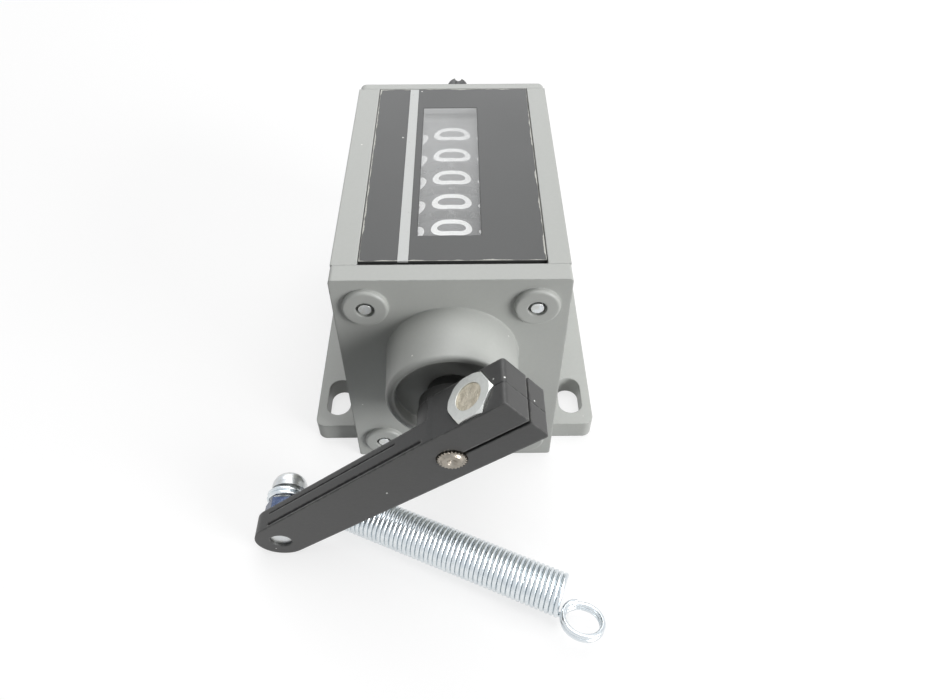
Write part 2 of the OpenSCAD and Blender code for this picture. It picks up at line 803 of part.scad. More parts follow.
module anchor_nut() {
    color([0.45, 0.48, 0.55]) translate([tip_x, arm_back_y + run, tip_z]) rotate([-90, 0, 0]) difference() {
        cylinder(h = anchor_nut_t - run, d = anchor_nut_flats / cos(30), $fn = 6);
        translate([0, 0, -1]) cylinder(h = anchor_nut_t + 2, d = anchor_d + 0.04, $fn = 48);
    }
}

// ---- Pull spring ----

// Spring coordinates: origin at the stud eye, +X along the coil, which lies on the mounting plane
module in_spring() {
    translate([tip_x, eye_y, coil_r]) rotate([0, 0, coil_yaw]) children();
}

module wire(from, to) {
    d = to - from;
    l = norm(d);
    translate(from) rotate([0, acos(d[2] / l), atan2(d[1], d[0])]) cylinder(h = l, d = wire_d, $fn = 24);
    translate(from) sphere(d = wire_d, $fn = 24);
    translate(to) sphere(d = wire_d, $fn = 24);
}

module pull_spring() {
    mid = coil_r - wire_d / 2;
    lift = tip_z - coil_r;
    coil_end = coil_start + coil_l;
    eye_up = 1;
    near_root = [coil_start + 0.3, -coil_side - mid + 1.1, mid * 0.6];
    near_eye = [mid * cos(coil_yaw) * 0.9, -mid * sin(coil_yaw) * 0.9, lift];
    far_root = [coil_end - 0.3, -coil_side - mid * 0.8, -mid * 0.6];
    far_eye = [coil_end + eye_ahead - mid * 0.95, -coil_side - eye_side - 0.5, eye_up * 0.2];
    color(zinc) union() {
        in_spring() translate([coil_start, -coil_side, 0]) rotate([0, 90, 0]) difference() {
            cylinder(h = coil_l, r = coil_r, $fn = 64);
            translate([0, 0, -1]) cylinder(h = coil_l + 2, r = bore_r, $fn = 64);
        }
        translate([tip_x, eye_y - eye_l / 2, tip_z]) rotate([-90, 0, 0]) difference() {
            cylinder(h = eye_l, r = coil_r, $fn = 64);
            translate([0, 0, -1]) cylinder(h = eye_l + 2, r = bore_r, $fn = 64);
        }
        in_spring() translate([coil_end + eye_ahead, -coil_side - eye_side, eye_up]) rotate([-eye_tilt, 0, 0])
            translate([0, 0, -eye_l / 2]) difference() {
                cylinder(h = eye_l, r = coil_r, $fn = 64);
                translate([0, 0, -1]) cylinder(h = eye_l + 2, r = bore_r, $fn = 64);
            }
        in_spring() wire(near_root, near_eye);
        in_spring() wire(far_root, far_eye);
    }
}

// ---- Figure wheels and transfer pinions ----

// Straight-sided gear outline with its first tooth on the X axis
module gear_outline(teeth, root_r, pitch_r, tip_r0, root_half, pitch_half, tip_half) {
    step = 360 / teeth;
    polygon([for (i = [0:teeth - 1]) for (p = [
        polar(root_r, i * step - root_half), polar(pitch_r, i * step - pitch_half),
        polar(tip_r0, i * step - tip_half), polar(tip_r0, i * step + tip_half),
        polar(pitch_r, i * step + pitch_half), polar(root_r, i * step + root_half)
    ]) p]);
}

module ratchet_wheel() {
    step = 360 / ratchet_teeth;
    color(steel) translate([0, 0, shaft_z]) union() {
        slab(ratchet_y, ratchet_t) difference() {
            polygon([for (i = [0:ratchet_teeth - 1]) for (p = [
                polar(ratchet_r, i * step), polar(ratchet_root_r, i * step + 1.5)
            ]) p]);
            circle(axle_d / 2 + run, $fn = 48);
        }
        slab(ratchet_y + ratchet_t - eps, wheel_y(1) - ratchet_y - ratchet_t - run) difference() {
            circle(ratchet_hub_r, $fn = 48);
            circle(axle_d / 2 + run, $fn = 48);
        }
    }
}

module number_wheel(i) {
    y = wheel_y(i);
    rim_y = y + gear_w;
    carry_y = rim_y + rim_w;
    rim_t = 1.4;
    color(wheel_black) translate([0, 0, shaft_z]) union() {
        slab(y, gear_w) difference() {
            gear_outline(wheel_teeth, gear_root_r, gear_pitch_r, wheel_r - 0.1, 4.4, 3.5, 2);
            circle(axle_d / 2 + run, $fn = 48);
        }
        slab(rim_y - eps, rim_w + 2 * eps) difference() {
            circle(wheel_r, $fn = 120);
            circle(wheel_r - rim_t, $fn = 96);
        }
        slab(rim_y - eps, 1.4) difference() {
            circle(wheel_r - rim_t / 2, $fn = 96);
            circle(axle_d / 2 + run, $fn = 48);
        }
        slab(rim_y, rim_w) difference() {
            circle(axle_d / 2 + 1.6, $fn = 48);
            circle(axle_d / 2 + run, $fn = 48);
        }
        slab(carry_y - 1, carry_w + 1) difference() {
            circle(carry_r, $fn = 96);
            circle(carry_r - 1.6, $fn = 96);
        }
        slab(carry_y - 1, 1) difference() {
            circle(wheel_r - rim_t / 2, $fn = 96);
            circle(carry_r - 1.6, $fn = 96);
        }
    }
}

module transfer_pinion(i) {
    color([0.86, 0.85, 0.80]) translate([0, 0, pinion_z]) slab(pinion_y(i), pinion_w) difference() {
        rotate(180 / pinion_teeth)
            gear_outline(pinion_teeth, pinion_root_r, pinion_pitch_r, pinion_tip_r, 13, 8, 4);
        circle(pinion_axle_d / 2 + run, $fn = 32);
    }
}

module number_wheel_1() { number_wheel(1); }
module number_wheel_2() { number_wheel(2); }
module number_wheel_3() { number_wheel(3); }
module number_wheel_4() { number_wheel(4); }
module number_wheel_5() { number_wheel(5); }
module transfer_pinion_1() { transfer_pinion(1); }
module transfer_pinion_2() { transfer_pinion(2); }
module transfer_pinion_3() { transfer_pinion(3); }
module transfer_pinion_4() { transfer_pinion(4); }

// ---- Reset shaft and knob ----

module reset_shaft() {
    pilot_l = 4.4;
    key = 0.8;
    color(steel) difference() {
        union() {
            rod(0, shaft_z, ratchet_y - pilot_l, pilot_l + eps, pilot_r, 48);
            rod(0, shaft_z, ratchet_y, knob_y + knob_t - 1.4 - ratchet_y, axle_d / 2, 64);
        }
        translate([-key / 2, y_wheels, shaft_z + axle_d / 2 - 0.6]) cube([key, y_wheels_end - y_wheels, 2]);
        rod(0, shaft_z, knob_y + knob_t - 6.4, 8, 1.05, 32);
    }
}

module reset_collar() {
    color(brass) difference() {
        rod(0, shaft_z, collar_y, 2.2, axle_d / 2 + 2.4, 48);
        rod(0, shaft_z, collar_y - 1, 5, axle_d / 2 + 0.02, 48);
    }
}

module wing_outline() {
    hub = knob_hub_r - 0.6;
    end_z = wing_r - wing_w / 2;
    difference() {
        union() {
            polygon([
                [-hub, 0], [-wing_w / 2, end_z], [wing_w / 2, end_z],
                [hub, 0], [wing_w / 2, -end_z], [-wing_w / 2, -end_z]
            ]);
            for (s = [-1, 1]) {
                translate([0, s * end_z]) circle(wing_w / 2, $fn = 32);
            }
        }
        for (s = [-1, 1]) {
            translate([0, s * (wing_r + 0.1)]) circle(0.8, $fn = 24);
        }
    }
}

module reset_knob() {
    wing_t = 4.6;
    color(black_plastic) difference() {
        union() {
            rod(0, shaft_z, knob_y, knob_t, knob_hub_r, 64);
            translate([0, 0, shaft_z]) rotate([0, knob_turn, 0])
                slab(knob_y + knob_t - wing_t - 0.2, wing_t) wing_outline();
        }
        rod(0, shaft_z, knob_y - 1, knob_t - 0.4, axle_d / 2 + 0.02, 48);
        rod(0, shaft_z, knob_y - 1, knob_t + 4, 1.3, 32);
        rod(0, shaft_z, knob_y + knob_t - 0.9, 3, 2.4, 40);
    }
}

module knob_screw() {
    y1 = knob_y + knob_t - 0.9 + run;
    color(zinc) difference() {
        union() {
            rod(0, shaft_z, y1 - 4.5, 4.5 + eps, 1, 32);
            rod(0, shaft_z, y1, 1.2, 2.2, 40);
        }
        translate([-3, y1 + 0.6, shaft_z - 0.25]) cube([6, 3, 0.5]);
    }
}

housing_shell();
drive_cover();
reset_cover();
face_plate();
face_stripe();
window_lens();
tie_screws();
front_frame_plate();
rear_frame_plate();
frame_pillars();
pinion_axle();
pinion_spacers();
pinion_clips();
shaft_bush();
reset_bush();
return_spring();
stop_pin();
detent_pin();
detent_pawl();
detent_spring();
drive_shaft();
drive_carrier();
shaft_clip();
pawl_pin();
drive_pawl();
drive_pawl_spring();
lever();
clamp_screw();
clamp_nut();
anchor_screw();
anchor_nut();
pull_spring();
ratchet_wheel();
number_wheel_1();
number_wheel_2();
number_wheel_3();
number_wheel_4();
number_wheel_5();
transfer_pinion_1();
transfer_pinion_2();
transfer_pinion_3();
transfer_pinion_4();
reset_shaft();
reset_collar();
reset_knob();
knob_screw();
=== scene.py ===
import json
import math

import bmesh
import bpy
from mathutils import Matrix, Vector


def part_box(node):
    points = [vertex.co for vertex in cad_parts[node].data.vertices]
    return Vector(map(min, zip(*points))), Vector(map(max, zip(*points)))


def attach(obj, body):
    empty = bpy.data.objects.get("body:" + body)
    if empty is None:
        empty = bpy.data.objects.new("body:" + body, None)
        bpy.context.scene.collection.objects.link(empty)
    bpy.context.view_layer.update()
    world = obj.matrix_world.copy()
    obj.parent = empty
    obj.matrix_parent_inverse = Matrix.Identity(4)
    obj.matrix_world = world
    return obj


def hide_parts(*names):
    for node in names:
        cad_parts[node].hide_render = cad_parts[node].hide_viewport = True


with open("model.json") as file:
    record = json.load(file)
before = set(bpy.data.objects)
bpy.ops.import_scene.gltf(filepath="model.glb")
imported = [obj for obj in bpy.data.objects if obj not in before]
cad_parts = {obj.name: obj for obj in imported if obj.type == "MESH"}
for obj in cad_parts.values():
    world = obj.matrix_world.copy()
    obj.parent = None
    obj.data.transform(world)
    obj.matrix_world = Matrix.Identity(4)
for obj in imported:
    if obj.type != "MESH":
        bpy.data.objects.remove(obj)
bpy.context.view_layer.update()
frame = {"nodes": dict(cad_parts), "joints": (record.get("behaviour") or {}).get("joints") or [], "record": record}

nodes = frame["nodes"]

MM = 0.001
FULL_TURN = 2 * math.pi
UP = Vector((0.0, 0.0, 1.0))

# A point on the common axis of the shaft and the figure wheels.
SHAFT = Vector((0.0, 0.0, 0.032))


# ---------------------------------------------------------------- node tree helpers

def feed(tree, socket, value):
    """Give an input a number, a colour, or a link from another node's output."""
    if isinstance(value, bpy.types.NodeSocket):
        tree.links.new(value, socket)
    elif socket.type == "RGBA":
        socket.default_value = (*value, 1.0)
    else:
        socket.default_value = value


def set_inputs(tree, node, **values):
    """Feed a node's inputs by name, with _ for a space, or by number, as in_0 and in_1."""
    for name, value in values.items():
        key = int(name[3:]) if name.startswith("in_") else name.replace("_", " ")
        feed(tree, node.inputs[key], value)
    return node


def add_node(tree, kind, settings=None, **values):
    """A shader node with its settings made and its inputs fed."""
    node = tree.nodes.new(kind)
    for name, value in (settings or {}).items():
        setattr(node, name, value)
    return set_inputs(tree, node, **values)


def maths(tree, operation, a, b=0.0, c=0.0):
    node = add_node(tree, "ShaderNodeMath", {"operation": operation}, in_0=a, in_1=b, in_2=c)
    return node.outputs[0]


def vary(tree, pattern, amount, base):
    """The base value, made to drift up and down by a pattern that runs from 0 to 1."""
    return maths(tree, "MULTIPLY_ADD", maths(tree, "SUBTRACT", pattern, 0.5), amount, base)


def noise(tree, place, scale, detail=2.0, rough=0.5, distortion=0.0):
    node = add_node(tree, "ShaderNodeTexNoise", Vector=place, Scale=scale, Detail=detail,
                    Roughness=rough, Distortion=distortion)
    return node.outputs["Fac"]


def between(tree, value, low, high):
    """0 below low, 1 above high, smooth in between."""
    node = add_node(tree, "ShaderNodeMapRange", {"interpolation_type": "SMOOTHSTEP"},
                    Value=value, From_Min=low, From_Max=high)
    return node.outputs["Result"]


def split_vector(tree, vector):
    """The x, y and z of a vector."""
    return add_node(tree, "ShaderNodeSeparateXYZ", Vector=vector).outputs


def mix_colours(tree, mask, a, b):
    """Colour a where the mask is 0, colour b where it is 1."""
    node = add_node(tree, "ShaderNodeMix", {"data_type": "RGBA"}, in_0=mask, in_6=a, in_7=b)
    return node.outputs[2]


def object_place(tree):
    """Where a point of the surface lies in the shared frame, in metres."""
    return tree.nodes.new("ShaderNodeTexCoord").outputs["Object"]


# ---------------------------------------------------------------- effects shared by the finishes

NUMBER = "NodeSocketFloat"
COLOUR = "NodeSocketColor"


def new_group(name, inputs, outputs):
    """A shader node group with named number or colour sockets; the effect is built inside it."""
    group = bpy.data.node_groups.new(name, "ShaderNodeTree")
    for label, kind, value in inputs:
        socket = group.interface.new_socket(label, in_out="INPUT", socket_type=kind)
        socket.default_value = value
    for label, kind in outputs:
        group.interface.new_socket(label, in_out="OUTPUT", socket_type=kind)
    given = group.nodes.new("NodeGroupInput").outputs
    result = group.nodes.new("NodeGroupOutput")
    return group, given, result, object_place(group)


def moulded_grain_group():
    """Fine texture of a moulding: height for bump, a roughness drift and a slow tone drift."""
    drift_scale, pit_scale = 60.0, 5200.0
    fine_share, pit_share, roughness_drift = 0.8, 0.35, 0.16
    group, given, result, place = new_group(
        "moulded_grain",
        [("Grain Size", NUMBER, 1400.0), ("Roughness", NUMBER, 0.45),
         ("Tone", COLOUR, (0.4, 0.4, 0.4, 1.0)), ("Drift", NUMBER, 0.06)],
        [("Colour", COLOUR), ("Roughness", NUMBER), ("Height", NUMBER)])
    fine = noise(group, place, given["Grain Size"], 3.0, 0.6)
    slow = noise(group, place, drift_scale, 3.0, 0.55)
    pits = noise(group, place, pit_scale, 1.0)
    shade = vary(group, slow, given["Drift"], 1.0)
    shade = vary(group, fine, maths(group, "MULTIPLY", given["Drift"], fine_share), shade)
    tone = add_node(group, "ShaderNodeVectorMath", {"operation": "SCALE"},
                    in_0=given["Tone"], Scale=shade)
    set_inputs(group, result, Colour=tone.outputs[0],
               Roughness=vary(group, slow, roughness_drift, given["Roughness"]),
               Height=maths(group, "MULTIPLY_ADD", pits, pit_share, fine))
    return group


def edge_wear_and_highlight_group():
    """Lighter edges, rubbed wear on most mouldings and a painted highlight on the wheel rims: compares a rounded
    normal with the true one.
    """
    slight_edge, clear_edge = 0.01, 0.12
    patch_scale, patch_low, patch_high = 900.0, 0.38, 0.62
    group, given, result, place = new_group(
        "edge_wear_and_highlight", [("Width", NUMBER, 0.0003), ("Amount", NUMBER, 0.5)], [("Mask", NUMBER)])
    rounded = add_node(group, "ShaderNodeBevel", {"samples": 4}, Radius=given["Width"]).outputs[0]
    flat = group.nodes.new("ShaderNodeNewGeometry").outputs["Normal"]
    turn = add_node(group, "ShaderNodeVectorMath", {"operation": "DOT_PRODUCT"},
                    in_0=rounded, in_1=flat)
    edge = between(group, maths(group, "SUBTRACT", 1.0, turn.outputs["Value"]),
                   slight_edge, clear_edge)
    broken = between(group, noise(group, place, patch_scale, 3.0), patch_low, patch_high)
    wear_and_highlight = maths(group, "MULTIPLY", maths(group, "MULTIPLY", edge, broken), given["Amount"])
    set_inputs(group, result, Mask=wear_and_highlight)
    return group


def dust_group():
    """Scattered pale specks: a small disc in some of the cells of a cell pattern."""
    group, given, result, place = new_group(
        "dust",
        [("Cells", NUMBER, 420.0), ("Size", NUMBER, 0.09), ("Share", NUMBER, 0.3)],
        [("Mask", NUMBER)])
    cells = add_node(group, "ShaderNodeTexVoronoi", Vector=place, Scale=given["Cells"])
    speck = maths(group, "LESS_THAN", cells.outputs["Distance"], given["Size"])
    chance = add_node(group, "ShaderNodeSeparateColor", Color=cells.outputs["Color"]).outputs[0]
    kept = maths(group, "LESS_THAN", chance, given["Share"])
    set_inputs(group, result, Mask=maths(group, "MULTIPLY", speck, kept))
    return group


def plating_group():
    """Plated metal: patchy tone, fine marks for height and roughness."""
    patch_scale, mark_scale = 700.0, 4200.0
    stain_low, stain_high = 0.42, 0.66
    roughness_drift, mark_share = 0.3, 0.6
    group, given, result, place = new_group(
        "plating",
        [("Tone", COLOUR, (0.7, 0.7, 0.7, 1.0)), ("Stain", COLOUR, (0.5, 0.5, 0.5, 1.0)),
         ("Stain Share", NUMBER, 0.3), ("Roughness", NUMBER, 0.3)],
        [("Colour", COLOUR), ("Roughness", NUMBER), ("Height", NUMBER)])
    patches = noise(group, place, patch_scale, 4.0, 0.6, 0.4)
    marks = noise(group, place, mark_scale, 2.0)
    stained = maths(group, "MULTIPLY", between(group, patches, stain_low, stain_high),
                    given["Stain Share"])
    set_inputs(group, result,
               Colour=mix_colours(group, stained, given["Tone"], given["Stain"]),
               Roughness=vary(group, patches, roughness_drift, given["Roughness"]),
               Height=maths(group, "MULTIPLY_ADD", marks, mark_share, patches))
    return group


moulded_grain = moulded_grain_group()
edge_wear_and_highlight = edge_wear_and_highlight_group()
dust = dust_group()
plating = plating_group()


# ---------------------------------------------------------------- kinds of finish

DUST_TONE = (0.74, 0.74, 0.71)
MOULDING_RELIEF = 0.04 * MM
PLATING_RELIEF = 0.02 * MM


def place_group(tree, group, **values):
    return add_node(tree, "ShaderNodeGroup", {"node_tree": group}, **values)


def new_material(name):
    material = bpy.data.materials.new(name)
    material.use_nodes = True
    tree = material.node_tree
    return material, tree, tree.nodes["Principled BSDF"]


def add_relief(tree, shader, height, strength, distance, edge_radius=0.0):
    """Bump from a height, over edges that catch the light as if they had a small radius."""
    bump = add_node(tree, "ShaderNodeBump", Height=height, Strength=strength, Distance=distance)
    if edge_radius:
        rounded = add_node(tree, "ShaderNodeBevel", {"samples": 6}, Radius=edge_radius)
        set_inputs(tree, bump, Normal=rounded.outputs[0])
    set_inputs(tree, shader, Normal=bump.outputs[0])


def moulding(name, tone, roughness, wear_and_highlight_tone, wear_and_highlight, edge_radius, drift=0.06, specks=0.0,
             relief=0.25):
    """A moulded plastic with grain, lighter edges for rubbed wear and painted edge highlights, and, if asked,
    dust.
    """
    grain, wear_and_highlight_width = 1400.0, 1.2 * edge_radius
    speck_cells, speck_size = 620.0, 0.10
    material, tree, shader = new_material(name)
    body = place_group(tree, moulded_grain, Grain_Size=grain, Roughness=roughness, Tone=tone,
                       Drift=drift)
    edge = place_group(tree, edge_wear_and_highlight, Width=wear_and_highlight_width, Amount=wear_and_highlight)
    # Lighter edges: rubbed wear, and on the number wheels a painted highlight.
    colour = mix_colours(tree, edge.outputs["Mask"], body.outputs["Colour"], wear_and_highlight_tone)
    if specks:
        bits = place_group(tree, dust, Cells=speck_cells, Size=speck_size, Share=specks)
        colour = mix_colours(tree, bits.outputs["Mask"], colour, DUST_TONE)
    set_inputs(tree, shader, Base_Color=colour, Roughness=body.outputs["Roughness"])
    add_relief(tree, shader, body.outputs["Height"], relief, MOULDING_RELIEF, edge_radius)
    return material


def metal(name, tone, stain, stain_share, roughness, relief=0.2, depth=PLATING_RELIEF,
          edge_radius=0.15 * MM):
    """A plated or plain metal with stains and fine marks."""
    material, tree, shader = new_material(name)
    body = place_group(tree, plating, Tone=tone, Stain=stain, Stain_Share=stain_share,
                       Roughness=roughness)
    set_inputs(tree, shader, Base_Color=body.outputs["Colour"],
               Roughness=body.outputs["Roughness"], Metallic=1.0)
    add_relief(tree, shader, body.outputs["Height"], relief, depth, edge_radius)
    return material


def glowing_figure_paint_material():
    """White figure paint with a painted glow, so that it stays bright under the window's whitish painted
    reflection.
    """
    material, tree, shader = new_material("glowing_figure_paint")
    body = place_group(tree, moulded_grain, Grain_Size=2600.0, Roughness=0.55,
                       Tone=(0.86, 0.87, 0.86), Drift=0.1)
    # Painted glow: the figure paint gives off light of its own.
    set_inputs(tree, shader, Base_Color=body.outputs["Colour"],
               Roughness=body.outputs["Roughness"],
               Emission_Color=(1.0, 1.0, 1.0), Emission_Strength=0.36)
    return material


def stripe_paint_material():
    """Silver-white print with small missing flecks."""
    fleck_scale, fleck_low, fleck_high = 1500.0, 0.70, 0.76
    fleck_tone = (0.25, 0.25, 0.24)
    material, tree, shader = new_material("stripe_paint")
    body = place_group(tree, moulded_grain, Grain_Size=1800.0, Roughness=0.5,
                       Tone=(0.53, 0.54, 0.53), Drift=0.12)
    flecks = between(tree, noise(tree, object_place(tree), fleck_scale, 3.0),
                     fleck_low, fleck_high)
    set_inputs(tree, shader,
               Base_Color=mix_colours(tree, flecks, body.outputs["Colour"], fleck_tone),
               Roughness=body.outputs["Roughness"])
    return material


def chipped_rim(tree, place, low, high):
    """1 on the chipped border of the plate's upper side, 0 elsewhere."""
    least_reach, most_reach = 0.05 * MM, 0.52 * MM
    ragged_scale, patch_scale = 1500.0, 240.0
    patch_low, patch_high = 0.40, 0.66
    side_on, face_up = 0.4, 0.8
    x, y, _ = split_vector(tree, place)
    near = maths(tree, "SUBTRACT", y, low[1])
    left = maths(tree, "SUBTRACT", x, low[0])
    right = maths(tree, "SUBTRACT", high[0], x)
    far = maths(tree, "SUBTRACT", high[1], y)
    rim = maths(tree, "MINIMUM", maths(tree, "MINIMUM", near, left),
                maths(tree, "MINIMUM", right, far))
    ragged = noise(tree, place, ragged_scale, 6.0, 0.8)
    patches = between(tree, noise(tree, place, patch_scale, 3.0), patch_low, patch_high)
    reach = maths(tree, "MULTIPLY_ADD", maths(tree, "MULTIPLY", ragged, patches),
                  most_reach, least_reach)
    normal = tree.nodes.new("ShaderNodeNewGeometry").outputs["Normal"]
    upper = between(tree, split_vector(tree, normal)[2], side_on, face_up)
    return maths(tree, "MULTIPLY", maths(tree, "LESS_THAN", rim, reach), upper)


def face_black_material():
    """Satin black plate with chipped pale edges and fine dust."""
    speck_tone = (0.55, 0.55, 0.53)
    chip_tones, chip_tone_scale = ((0.56, 0.56, 0.51), (0.30, 0.30, 0.27)), 800.0
    relief, edge_radius = 0.2, 0.2 * MM
    low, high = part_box("face_plate")
    material, tree, shader = new_material("face_black")
    place = object_place(tree)
    body = place_group(tree, moulded_grain, Grain_Size=2200.0, Roughness=0.40,
                       Tone=(0.046, 0.047, 0.046), Drift=0.18)
    bits = place_group(tree, dust, Cells=300.0, Size=0.055, Share=0.12)
    colour = mix_colours(tree, bits.outputs["Mask"], body.outputs["Colour"], speck_tone)
    chip_tone = mix_colours(tree, noise(tree, place, chip_tone_scale, 2.0), *chip_tones)
    colour = mix_colours(tree, chipped_rim(tree, place, low, high), colour, chip_tone)
    set_inputs(tree, shader, Base_Color=colour, Roughness=body.outputs["Roughness"])
    add_relief(tree, shader, body.outputs["Height"], relief, MOULDING_RELIEF, edge_radius)
    return material


def clear_window_material():
    """Thin clear panel with a whitish veil, a painted reflection that grows towards its far end."""
    near_painted_reflection, painted_reflection_growth, painted_reflection_smear = 0.20, 0.17, 0.05
    smear_scale, smear_stretch = 260.0, (1.0, 0.35, 1.0)
    least_roughness, roughness_smear = 0.22, 0.08
    low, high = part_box("window_lens")
    material, tree, shader = new_material("clear_window")
    place = object_place(tree)
    along = between(tree, split_vector(tree, place)[1], low[1], high[1])
    smeared = add_node(tree, "ShaderNodeMapping", Vector=place, Scale=smear_stretch)
    smear = noise(tree, smeared.outputs["Vector"], smear_scale, 3.0)
    # Painted reflection: a pale see-through veil whose strength grows towards the far end.
    painted_reflection = maths(tree, "MULTIPLY_ADD", along, painted_reflection_growth, near_painted_reflection)
    set_inputs(tree, shader, Base_Color=(0.84, 0.85, 0.85), Specular_IOR_Level=0.12,
               Alpha=vary(tree, smear, painted_reflection_smear, painted_reflection),
               Roughness=maths(tree, "MULTIPLY_ADD", smear, roughness_smear, least_roughness))
    return material


# ---------------------------------------------------------------- finishes of this counter

grey_moulding = moulding(
    "grey_moulding", tone=(0.415, 0.425, 0.405), roughness=0.42, wear_and_highlight_tone=(0.56, 0.57, 0.55),
    wear_and_highlight=0.35, edge_radius=0.4 * MM, drift=0.09, specks=0.035)
black_moulding = moulding(
    "black_moulding", tone=(0.045, 0.045, 0.044), roughness=0.40, wear_and_highlight_tone=(0.20, 0.20, 0.19),
    wear_and_highlight=0.45, edge_radius=0.5 * MM, drift=0.3, specks=0.05, relief=0.3)
# On the number wheels the lighter edges are a painted highlight along the rims.
wheel_plastic = moulding(
    "wheel_plastic", tone=(0.028, 0.029, 0.030), roughness=0.5, wear_and_highlight_tone=(0.28, 0.29, 0.28),
    wear_and_highlight=0.8, edge_radius=0.12 * MM, drift=0.2)
pinion_plastic = moulding(
    "pinion_plastic", tone=(0.66, 0.64, 0.56), roughness=0.45, wear_and_highlight_tone=(0.7, 0.68, 0.6),
    wear_and_highlight=0.2, edge_radius=0.1 * MM)
zinc_plate = metal(
    "zinc_plate", tone=(0.72, 0.74, 0.75), stain=(0.52, 0.51, 0.44), stain_share=0.5,
    roughness=0.32)
nut_zinc = metal(
    "nut_zinc", tone=(0.72, 0.73, 0.70), stain=(0.62, 0.63, 0.61), stain_share=0.5,
    roughness=0.46, relief=0.6, depth=0.06 * MM)
screw_brownish = metal(
    "screw_brownish", tone=(0.72, 0.66, 0.54), stain=(0.44, 0.39, 0.30), stain_share=0.6,
    roughness=0.36, relief=0.9, depth=0.25 * MM)
blue_zinc = metal(
    "blue_zinc", tone=(0.06, 0.08, 0.14), stain=(0.20, 0.23, 0.29), stain_share=0.35,
    roughness=0.26)
spring_wire = metal(
    "spring_wire", tone=(0.82, 0.86, 0.88), stain=(0.62, 0.68, 0.72), stain_share=0.4,
    roughness=0.26, edge_radius=0.0)
nickel_shaft = metal(
    "nickel_shaft", tone=(0.39, 0.355, 0.305), stain=(0.25, 0.225, 0.19), stain_share=0.6,
    roughness=0.34, relief=0.7, depth=0.08 * MM)
plain_steel = metal(
    "plain_steel", tone=(0.50, 0.50, 0.50), stain=(0.36, 0.36, 0.36), stain_share=0.5,
    roughness=0.38)
bush_brass = metal(
    "bush_brass", tone=(0.66, 0.50, 0.24), stain=(0.46, 0.34, 0.16), stain_share=0.4,
    roughness=0.34)
glowing_figure_paint = glowing_figure_paint_material()
stripe_paint = stripe_paint_material()
face_black = face_black_material()
clear_window = clear_window_material()

finish_of = {
    "grey_moulding": grey_moulding, "black_moulding": black_moulding, "face_black": face_black,
    "stripe_paint": stripe_paint, "clear_window": clear_window, "wheel_plastic": wheel_plastic,
    "pinion_plastic": pinion_plastic, "zinc_plate": zinc_plate, "blue_zinc": blue_zinc,
    "spring_wire": spring_wire, "nickel_shaft": nickel_shaft, "plain_steel": plain_steel,
    "bush_brass": bush_brass,
}
for part in frame["record"]["subparts"]:
    mesh = nodes[part["node"]].data
    mesh.materials.clear()
    mesh.materials.append(finish_of[part["material_slot"]])
for name, finish in (("clamp_nut", nut_zinc), ("clamp_screw", screw_brownish)):
    nodes[name].data.materials[0] = finish


# ---------------------------------------------------------------- mesh helpers

SMOOTH_ANGLE = math.radians(60.0)


def new_piece(name, mesh_data, finish, body):
    """An object from a bmesh, riding on a CAD body."""
    mesh = bpy.data.meshes.new(name)
    mesh_data.to_mesh(mesh)
    mesh_data.free()
    mesh.materials.append(finish)
    piece = bpy.data.objects.new(name, mesh)
    bpy.context.scene.collection.objects.link(piece)
    mesh.shade_smooth()
    mesh.set_sharp_from_angle(angle=SMOOTH_ANGLE)
    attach(piece, body)
    return piece


def circle_angles(sides, first=0.0, count=None):
    """Angles a side apart, from first on: one round, or count of them."""
    return [first + FULL_TURN * k / sides for k in range(sides if count is None else count)]


def sweep(bm, path, radius, sides):
    """A closed tube of one radius along a list of points, drawn in at its two ends."""
    end_share = 0.55
    last = len(path) - 1
    rings = []
    normal = None
    for i, point in enumerate(path):
        ahead = (path[min(i + 1, last)] - path[max(i - 1, 0)]).normalized()
        if normal is None:
            normal = ahead.orthogonal().normalized()
        normal = (normal - ahead * normal.dot(ahead)).normalized()
        side = ahead.cross(normal)
        size = radius * (end_share if i in (0, last) else 1.0)
        rings.append([bm.verts.new(point + size * (math.cos(a) * normal + math.sin(a) * side))
                      for a in circle_angles(sides)])
    for one, two in zip(rings, rings[1:]):
        for k in range(sides):
            beside = (k + 1) % sides
            bm.faces.new((one[k], one[beside], two[beside], two[k]))
    bm.faces.new(list(reversed(rings[0])))
    bm.faces.new(rings[-1])
    bmesh.ops.recalc_face_normals(bm, faces=bm.faces)


def smooth_path(points, steps):
    """A Catmull-Rom line through the points."""
    line = []
    padded = [2 * points[0] - points[1], *points, 2 * points[-1] - points[-2]]
    for a, b, c, d in zip(padded, padded[1:], padded[2:], padded[3:]):
        for k in range(steps):
            t = k / steps
            line.append(0.5 * (2 * b + (c - a) * t + (2 * a - 5 * b + 4 * c - d) * t * t
                               + (3 * b - a - 3 * c + d) * t ** 3))
    line.append(points[-1])
    return line


# ---------------------------------------------------------------- pull spring as wound wire

WIRE = 0.9 * MM
WIND_RADIUS = 3.55 * MM
COIL_TURNS = 56
COIL_YAW = math.radians(-24.0)
COIL_HEIGHT = 4.0 * MM
COIL_START = 5.2 * MM
COIL_SIDE = 3.25 * MM
FREE_EYE_AHEAD = 4.2 * MM
FREE_EYE_SIDE = 3.5 * MM
FREE_EYE_LIFT = 1.0 * MM
FREE_EYE_TILT = math.radians(18.0)
LEAD_STEPS = 6
LEAD_LIFT = 0.3 * MM
LEAD_DROP = 0.2 * MM
EYE_SEGMENTS, COIL_SEGMENTS = 30, 28
WIRE_SIDES = 12


def winding(centre, u, v, axis, first, turns, segments):
    """Points of a close-wound helix about an axis, from an angle on in the plane of u and v."""
    return [centre + WIND_RADIUS * (math.cos(a) * u + math.sin(a) * v)
            + axis * WIRE * (a - first) / FULL_TURN
            for a in circle_angles(segments, first, int(turns * segments) + 1)]


def lead(start, end, bow):
    """The short bowed wire between an eye and the coil."""
    return smooth_path([start, start * 0.5 + end * 0.5 + bow, end], LEAD_STEPS)[1:-1]


